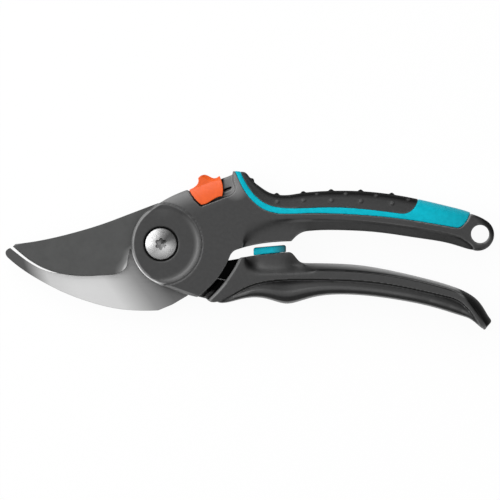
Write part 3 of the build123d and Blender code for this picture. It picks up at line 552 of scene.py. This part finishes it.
washer_dark, washer_light = (0.58, 0.58, 0.55), (0.66, 0.66, 0.63)
plain, tree, shader = new_finish("plain_steel")
shader.inputs["Metallic"].default_value = 1.0
tree.links.new(mottled(tree, 1200, 0.42, 0.56), shader.inputs["Base Color"])
tree.links.new(mottled(tree, 2500, 0.3, 0.45), shader.inputs["Roughness"])
for node in ("counter_blade_pins", "cutting_blade_pins", "pivot_bush", "head_washer", "nut_washer",
             "opening_spring", "lock_detent_spring", "lock_tongue", "lock_pin"):
    frame["nodes"][node].data.materials[0] = plain

slip, tree, shader = new_finish("washer_plastic")
tree.links.new(mottled(tree, 900, washer_dark, washer_light), shader.inputs["Base Color"])
tree.links.new(mottled(tree, gloss_patches, 0.4, 0.5), shader.inputs["Roughness"])
for node in ("front_wear_washer", "rear_wear_washer"):
    frame["nodes"][node].data.materials[0] = slip


# Cutting blade. Hardened steel with a dark low-friction coating, ground along its curved edge.
# Its tang is dowelled into the lower handle.

blade_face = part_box("cutting_blade")[1][2]
bevel_depth = 0.0020                        # points below this lie on the cutting edge itself
cutting_easing = 0.00014
tip_move = Vector((-0.00028, -0.00048))
coating_dark, coating_light = (0.066, 0.067, 0.0665), (0.075, 0.076, 0.0755)
coating, tree, shader = new_finish("blade_coating")
tone = mottled(tree, 260, coating_dark, coating_light)
# Painted highlight: the ground bevel below the blade's face is painted lighter.
ground = along(tree, upward, blade_face - 0.0001, blade_face - 0.0005)
# Painted highlight on the heel of the blade beside the hub.
heel_highlight = joined(tree, "MULTIPLY",
                    around(tree, (-0.0222, -0.0041, blade_face), 0.0050, 0.0092),
                    along(tree, (0.6, -0.8, 0), -0.0078, -0.0048),
                    along(tree, rightward, -0.0204, -0.0161))
heel_highlight = ramp(tree, heel_highlight, (0.0, 0.0), (0.6, 0.25), (1.0, 1.0))
# Painted shade: the tang in the deep gap behind the hub plates is painted near black, with a
# duller shine.
tang_shade = along(tree, rightward, 0.012, 0.013)
# Painted highlight: a thin light line along the tang's lower edge.
tang_edge_highlight = joined(tree, "MULTIPLY", along(tree, (0.181, 0.983, 0), -0.01020, -0.01035), tang_shade)
tone = layered(tree, tone, (ground, 0.12), (heel_highlight, 0.5), (tang_shade, 0.002), (tang_edge_highlight, 0.3))
tree.links.new(tone, shader.inputs["Base Color"])
grained(tree, shader, 0.40, 0.52, grain=5000, depth=0.00002, strength=0.25)
dulled(tree, shader, tang_shade, plain=0.12, dull=0.02)


def nearest_foot(spot, line):
    """The place on a line of points that lies nearest to a spot, seen from above."""
    best = None
    for first, second in zip(line, line[1:]):
        span = second.xy - first.xy
        if span.length < 1e-7:
            continue
        step = share((spot.xy - first.xy).dot(span), 0.0, span.length_squared)
        foot = first.xy + span * step
        gap = (spot.xy - foot).length
        if best is None or gap < best[0]:
            best = (gap, foot)
    return best[1]


def hone(form):
    """Keeps the ground bevel narrow and brings the heel and the edge near the tip forward."""
    bevel = [vert for vert in form.verts
             if any(0.3 < side.normal.z < 0.998 for side in vert.link_faces)]
    edge = [vert.co.copy() for vert in bevel if vert.co.z < blade_face - bevel_depth]
    edge.sort(key=lambda spot: math.atan2(spot.y - 0.010, spot.x + 0.030))
    for vert in bevel:
        if vert.co.z > blade_face - bevel_depth:
            narrowing = 0.7 + 0.2 * share(vert.co.x, -0.0300, -0.0230)
            vert.co.xy = vert.co.xy.lerp(nearest_foot(vert.co, edge), narrowing)
    for vert in form.verts:
        x, y = vert.co.xy
        heel = share(x, -0.0250, -0.0190) * share(x, -0.0136, -0.0150)
        heel_move = Vector((0.0003 + 0.0008 * share(y, -0.0052, -0.0026), -0.0004))
        tip = share(x, -0.0655, -0.0580) * share(x, -0.0430, -0.0530)
        vert.co.xy += heel_move * heel * share(y, -0.0010, -0.0030)
        vert.co.xy += tip_move * tip * share(y, -0.0012, -0.0022)


cutting_blade = eased_plate("cutting_blade", "cutting_blade_plate", cutting_easing, steps=2,
                            shaping=hone)
cutting_blade.data.materials.append(coating)
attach(cutting_blade, "lower_half")
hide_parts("cutting_blade")


# Lower handle. The second nylon moulding, with the finger roll on its outside, the flat band
# above it and the rear hub plate behind the blades.

arch_centre, arch_reach = (0.07133, -0.20048, 0.0185), 0.18878
step_x, step_y, step_reach = -0.01735, 0.01863, 0.05739     # the round step beside the hub
step_face = (step_x, step_y, 0.0190)
step_bottom, step_under = -0.0246, 0.014
post_left, post_right, post_foot = 0.0360, 0.068, -0.0142
post_step, post_ceiling = 0.0575, -0.0082
scoop_places = ((0.0412, -0.0080, 0.0009), (0.0570, -0.0074, 0.0015))
scoop_radius, step_width, step_fall = 0.0032, 0.0013, 0.0011
inner_way = (0.80, 0.60, 0)                 # towards the bent end of the handle
backward = (0, 1, 0)
shaded, tree, shader, tone = nylon_finish("lower_nylon", arch_centre, arch_reach - 0.0002,
                                          arch_reach - 0.0008)
# Painted highlight: the arch above the crease is painted lighter towards its top edge, more
# towards the bent end.
arch_growth = ramp(tree, along(tree, rightward, 0.066, 0.106), (0.0, 0.15), (1.0, 1.0))
arch_highlight = joined(tree, "MULTIPLY",
              around(tree, arch_centre, arch_reach + 0.0004, arch_reach + 0.0026), arch_growth,
              along(tree, rightward, 0.060, 0.068), along(tree, inner_way, 0.0930, 0.0915))
# Painted highlight: a light line along the round step beside the hub.
step_edge_highlight = joined(tree, "MULTIPLY", hoop(tree, step_face, 0.0574, 0.0577, 0.0579, 0.0585),
                    along(tree, upward, 0.0170, 0.0180), along(tree, backward, -0.0255, -0.0235))
# Painted shade: the crease under the arch, the sunk floor behind the hub plates and the scoops by
# the post are painted near black with a duller shine; the bent end is darkened the same way.
crease_line_shade = joined(tree, "MULTIPLY",
                hoop(tree, arch_centre, arch_reach - 0.0006, arch_reach - 0.0001,
                     arch_reach + 0.0003, arch_reach + 0.0009),
                along(tree, rightward, 0.062, 0.070))
sunk_shade = joined(tree, "MULTIPLY", around(tree, (step_x, step_y, 0.0102), 0.0573, 0.0570),
              along(tree, upward, 0.0040, 0.0060), along(tree, backward, -0.0212, -0.0202))
inner_end = along(tree, inner_way, 0.0922, 0.0931)
scoop_shade = joined(tree, "MAXIMUM", around(tree, (0.0396, -0.0084, 0.0180), 0.0042, 0.0010),
                around(tree, (0.0582, -0.0080, 0.0180), 0.0042, 0.0010))
dark = joined(tree, "MAXIMUM", sunk_shade, up_to(tree, crease_line_shade, most=0.7), inner_end,
              up_to(tree, scoop_shade, most=0.75))
tone = layered(tree, tone, (arch_highlight, 0.45), (step_edge_highlight, 0.14), (dark, 0.004))
tree.links.new(tone, shader.inputs["Base Color"])
dulled(tree, shader, dark, plain=0.5, dull=0.02)


def shape_lower(form):
    """Scoops the post under the buffer and rounds the step beside the hub."""
    def post(x, y):
        ceiling = post_ceiling if x > post_step else -0.0069 + 0.115 * (x - 0.035)
        return min(x - post_left, post_right - x, y - post_foot, ceiling - y)

    soften(form, post, rounds=25)
    for vert in form.verts:
        x, y, z = vert.co
        for scoop_x, scoop_y, depth in scoop_places:
            away = math.hypot(x - scoop_x, y - scoop_y) / scoop_radius
            lower_face(vert, depth * math.exp(-away * away))
        if z > step_under and y > step_bottom:
            step = share(math.hypot(x - step_x, y - step_y) - step_reach, step_width, 0.0)
            lower_face(vert, step_fall * step * step)


lower_handle = moulded("lower_handle_body", "lower_handle_moulding", handle_cell, rounds=5,
                       shaping=shape_lower)
mark_relief(lower_handle, handle_cell)
lower_handle.data.materials.append(shaded)
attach(lower_handle, "lower_half")
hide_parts("lower_handle_body")


# Closing buffer. Teal elastomer plugged into the lower handle's post, where the upper handle
# comes down on it at the end of a cut.

buffer_cell = 0.0002
elastic_deep, elastic_light = (0.001, 0.36, 0.46), (0.002, 0.41, 0.52)
buffer_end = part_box("closing_buffer")[1][0]
elastic, tree, shader = new_finish("buffer_elastomer")
tone = mottled(tree, 500, elastic_deep, elastic_light, spread=0.15)
# Painted shade: a dark line along the buffer's top edge, and darker towards its right end.
buffer_shade = joined(tree, "MAXIMUM", along(tree, (-0.093, 0.996, 0), -0.00575, -0.00525),
             up_to(tree, along(tree, rightward, buffer_end - 0.0062, buffer_end), most=0.85))
tree.links.new(tinted(tree, buffer_shade, tone, 0.03), shader.inputs["Base Color"])
grained(tree, shader, 0.42, 0.52, mould_grain, mould_depth, strength=0.2)
shader.inputs["Specular IOR Level"].default_value = 0.12

buffer = moulded("closing_buffer", "closing_buffer_block", buffer_cell, rounds=14)
buffer.data.materials.append(elastic)
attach(buffer, "lower_half")
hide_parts("closing_buffer")


# Pivot screw and nut. Turned steel with a crowned head and a six-lobe socket, and a hexagon
# nut let into the back.

screw_cell, nut_easing = 0.00014, 0.0004
screw_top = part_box("pivot_bolt")[1][2]
turned, tree, shader = new_finish("turned_steel")
shader.inputs["Metallic"].default_value = 1.0
rings = tree.nodes.new("ShaderNodeTexWave")
rings.wave_type = "RINGS"
rings.rings_direction = "Z"
rings.inputs["Scale"].default_value = 1400
rings.inputs["Distortion"].default_value = 0.6
place = tree.nodes.new("ShaderNodeTexCoord")
tree.links.new(place.outputs["Object"], rings.inputs["Vector"])
roughen(tree, shader, rings.outputs["Fac"], depth=0.00003, strength=0.4)
round_cut = tree.nodes.new("ShaderNodeTangent")
round_cut.direction_type = "RADIAL"
round_cut.axis = "Z"
tree.links.new(round_cut.outputs["Tangent"], shader.inputs["Tangent"])
shader.inputs["Anisotropic"].default_value = 0.8
# Painted reflection: the colour changes with the angle round the screw, in light and dark sectors.
sweep = tree.nodes.new("ShaderNodeTexGradient")
sweep.gradient_type = "RADIAL"
tree.links.new(place.outputs["Object"], sweep.inputs["Vector"])
sector_reflection = ramp(tree, sweep.outputs["Fac"], (0.0, 0.50), (0.06, 0.36), (0.13, 0.31), (0.24, 0.44),
               (0.36, 0.58), (0.45, 0.58), (0.51, 0.34), (0.57, 0.12), (0.63, 0.07), (0.75, 0.19),
               (0.82, 0.35), (1.0, 0.50))
# Painted shade: the colour darkens down into the socket.
socket_shade = ramp(tree, along(tree, upward, screw_top - 0.0019, screw_top - 0.0010),
              (0.0, 0.46), (1.0, 1.0))
tree.links.new(joined(tree, "MULTIPLY", sector_reflection, socket_shade), shader.inputs["Base Color"])
tree.links.new(mottled(tree, gloss_patches, 0.24, 0.34), shader.inputs["Roughness"])

screw = moulded("pivot_bolt", "pivot_screw", screw_cell, rounds=2)
nut = eased_plate("pivot_nut", "hexagon_nut", nut_easing, steps=3)
for piece, node in ((screw, "pivot_bolt"), (nut, "pivot_nut")):
    piece.data.materials.append(turned)
    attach(piece, "upper_half")
    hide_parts(node)


# Thumb lock. Orange saddle moulded in hard plastic that slides along the rail, hollowed for
# the thumb, with a flange down each side of the handle.

slider_cell = 0.0002
hollow_x, hollow_y, hollow_radius = 0.0227, 0.0346, 0.0070
hollow_depth = 0.8                          # fall for each metre inside the hollow's rim
orange_deep, orange_light = (0.68, 0.086, 0.008), (0.74, 0.099, 0.011)
orange, tree, shader = new_finish("orange_moulding")
tone = mottled(tree, 600, orange_deep, orange_light)
tree.links.new(tone, shader.inputs["Base Color"])
grained(tree, shader, 0.30, 0.40, mould_grain, mould_depth, strength=0.2)
shader.inputs["Specular IOR Level"].default_value = 0.32


def shape_slider(form):
    """Hollows the saddle for the thumb and lets the flanges follow the hub's top edge."""
    for vert in form.verts:
        x, y = vert.co.xy
        hollow = max(hollow_radius - math.hypot(x - hollow_x, y - hollow_y), 0.0)
        lower_face(vert, hub_fall(x, y) + hollow_depth * hollow)


slider = moulded("lock_slider", "thumb_slider", slider_cell, rounds=5, shaping=shape_slider)
slider.data.materials.append(orange)
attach(slider, "thumb_lock")
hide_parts("lock_slider")


# Floor, light and camera. A white sheet with the shears lying on it under a wide soft canopy
# that leans to the upper left, with two lamps from that side, seen square from above.

floor_half, floor_grey = 3.0, (0.85, 0.85, 0.85, 1)
lamp_size, lamp_power, lamp_aim = 0.6, 3.2, Vector((0.04, 0, 0))
lamp_spots = ("left_lamp", (-0.70, 0.10, 0.70)), ("upper_lamp", (-0.30, 0.62, 0.70))
view_width, view_centre, view_height = 0.22, (0.03916, -0.00264), 1.0
sheet = bmesh.new()
bmesh.ops.create_grid(sheet, x_segments=1, y_segments=1, size=floor_half)
floor = placed(sheet, "floor_sheet")
paper, tree, shader = new_finish("white_floor")
shader.inputs["Base Color"].default_value = floor_grey
shader.inputs["Roughness"].default_value = 0.9
shader.inputs["Specular IOR Level"].default_value = 0.0
glow = tree.nodes.new("ShaderNodeEmission")
blend = tree.nodes.new("ShaderNodeMixShader")
rays = tree.nodes.new("ShaderNodeLightPath")
seen = joined(tree, "MAXIMUM", rays.outputs["Is Camera Ray"], rays.outputs["Is Glossy Ray"],
              rays.outputs["Is Transmission Ray"])
tree.links.new(up_to(tree, seen, most=0.95), blend.inputs["Fac"])
tree.links.new(shader.outputs["BSDF"], blend.inputs[1])
tree.links.new(glow.outputs["Emission"], blend.inputs[2])
tree.links.new(blend.outputs["Shader"], tree.nodes["Material Output"].inputs["Surface"])
floor.data.materials.append(paper)

world = bpy.data.worlds.new("studio")
bpy.context.scene.world = world
world.use_nodes = True
tree = world.node_tree
sky = tree.nodes["Background"]
sky.inputs["Color"].default_value = (1, 1, 1, 1)
look = tree.nodes.new("ShaderNodeTexCoord")


def towards(direction):
    """How far the sky lies towards a direction."""
    dot = tree.nodes.new("ShaderNodeVectorMath")
    dot.operation = "DOT_PRODUCT"
    dot.inputs[1].default_value = direction
    tree.links.new(look.outputs["Generated"], dot.inputs[0])
    return dot.outputs["Value"]


horizon = ramp(tree, towards(upward), (0.05, 1.0), (0.15, 0.0))
bright_side = ramp(tree, towards((-0.77, 0.64, 0.0)), (0.0, 0.05), (0.4, 1.0))
canopy = ramp(tree, towards((-0.26, 0.26, 0.93)), (0.45, 0.04), (0.66, 1.1))
light = joined(tree, "MAXIMUM", joined(tree, "MULTIPLY", horizon, bright_side), canopy)
tree.links.new(light, sky.inputs["Strength"])

for name, spot in lamp_spots:
    lamp = bpy.data.lights.new(name, "AREA")
    lamp.shape = "DISK"
    lamp.size = lamp_size
    lamp.energy = lamp_power
    holder = bpy.data.objects.new(name, lamp)
    holder.location = spot
    holder.rotation_euler = (lamp_aim - holder.location).to_track_quat("-Z", "Y").to_euler()
    bpy.context.scene.collection.objects.link(holder)

lens = bpy.data.cameras.new("camera")
lens.type = "ORTHO"
lens.ortho_scale = view_width
camera = bpy.data.objects.new("camera", lens)
camera.location = (*view_centre, view_height)
bpy.context.scene.collection.objects.link(camera)
bpy.context.scene.camera = camera
bpy.context.scene.view_settings.view_transform = "Standard"
